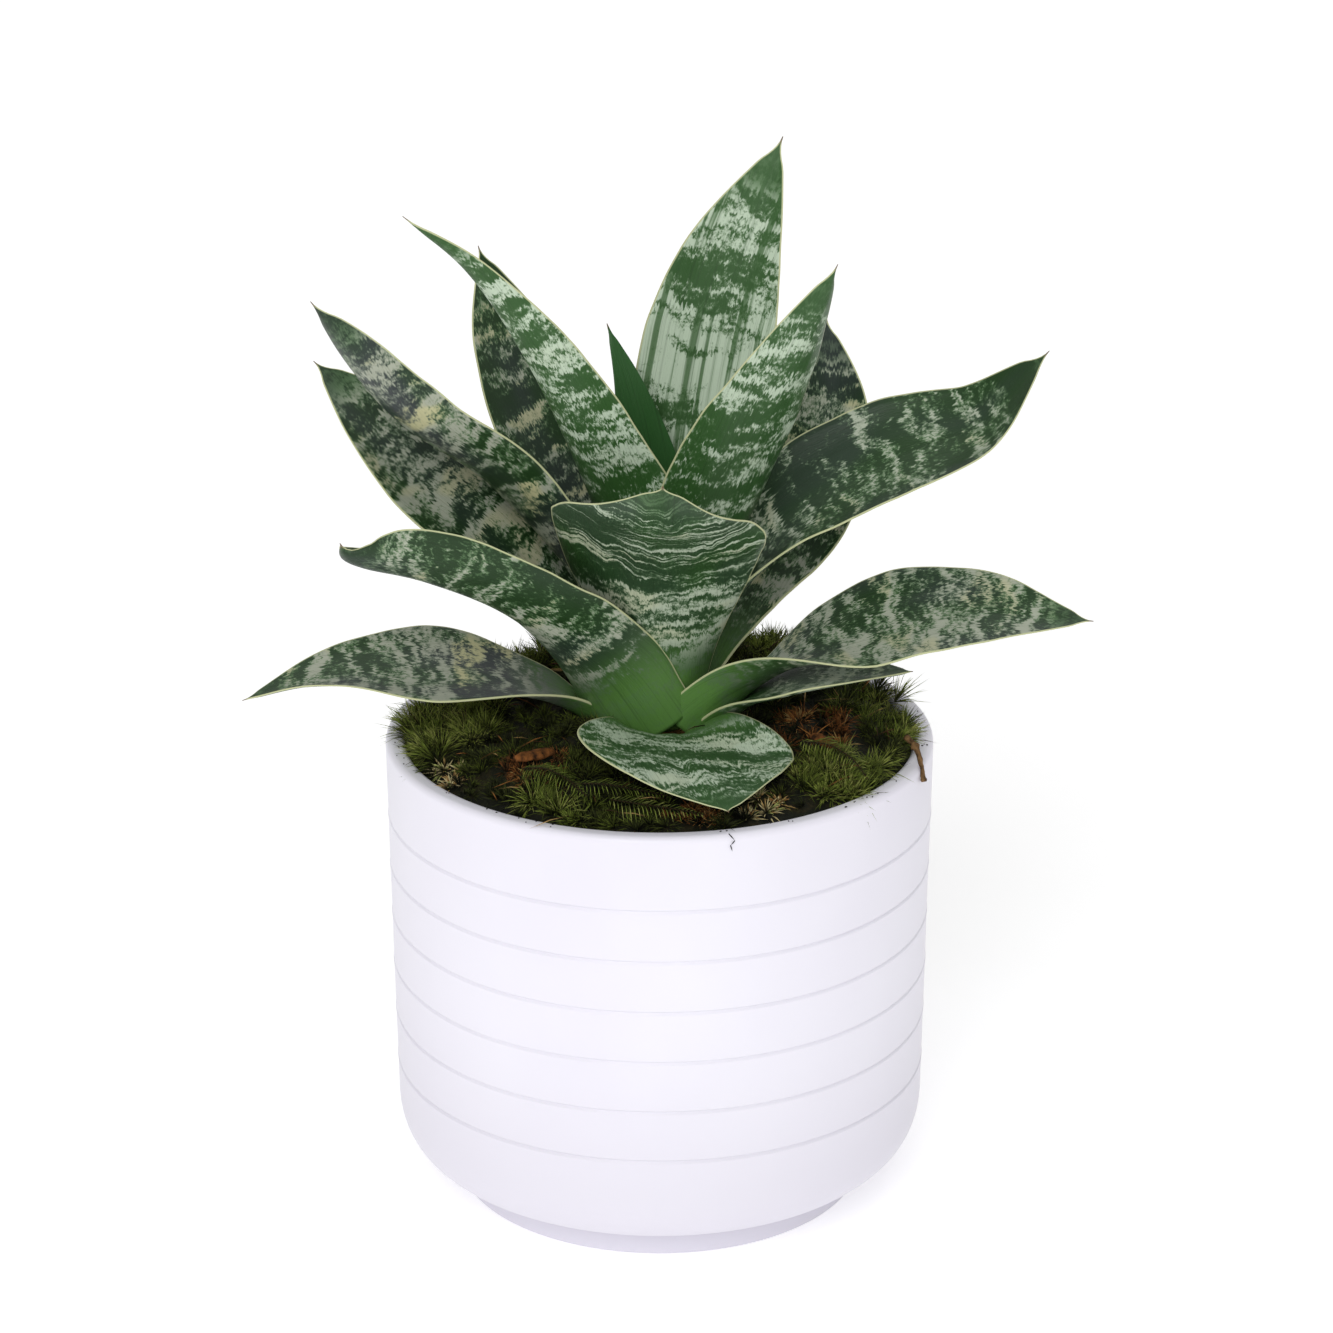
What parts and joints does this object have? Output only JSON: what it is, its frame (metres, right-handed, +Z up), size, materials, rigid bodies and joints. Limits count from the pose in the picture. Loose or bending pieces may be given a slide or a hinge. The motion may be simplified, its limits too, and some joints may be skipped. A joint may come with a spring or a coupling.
{
  "type": "potted snake plant",
  "caption": "Bird's-nest snake plant: a rosette of broad, banded, channelled leaves rising from moss in a white cylindrical pot with fine horizontal grooves and a recessed foot.",
  "frame": {"origin": "centre of the pot's flat foot, on the surface it stands on", "axes": "+Z up the pot's axis; -Y towards the front, where the front leaf leans; +X to the right of the front"},
  "size_m": [0.2283, 0.1575, 0.2912],
  "materials": {
    "pot_ceramic": "satin white with a faint lavender cast",
    "soil": "matt dark crumb",
    "root": "matt, knobbly",
    "moss": "matt, fine needles",
    "bark": "matt, weathered",
    "leaf": "waxy satin, dark green with pale crossbands and cream margins",
    "young_leaf": "waxy satin, plain green"
  },
  "bodies": {
    "root": {"pot": "pot_ceramic", "potting_soil": "soil", "root_crown": "root", "front_drooping_leaf": "leaf", "left_drooping_leaf": "leaf", "lower_right_leaf": "leaf", "right_arching_leaf": "leaf", "front_left_leaf": "leaf", "front_leaf": "leaf", "back_leaf": "leaf", "lower_back_left_leaf": "leaf", "broad_right_leaf": "leaf", "lower_left_leaf": "leaf", "upper_left_leaf": "leaf", "back_right_leaf": "leaf", "back_left_leaf": "leaf", "left_front_upright_leaf": "leaf", "right_front_upright_leaf": "leaf", "tall_upright_leaf": "leaf", "young_centre_leaf": "young_leaf", "moss_cushion_right": "moss", "moss_cushion_back_right": "moss", "moss_cushion_back": "moss", "moss_cushion_back_left": "moss", "moss_cushion_left": "moss", "moss_cushion_front_left": "moss", "moss_cushion_front": "moss", "moss_cushion_front_right": "moss", "twig_on_rim": "bark", "feathery_moss_frond": "moss", "bark_chip_left": "bark", "bark_chip_right": "bark"}
  },
  "joints": []
}
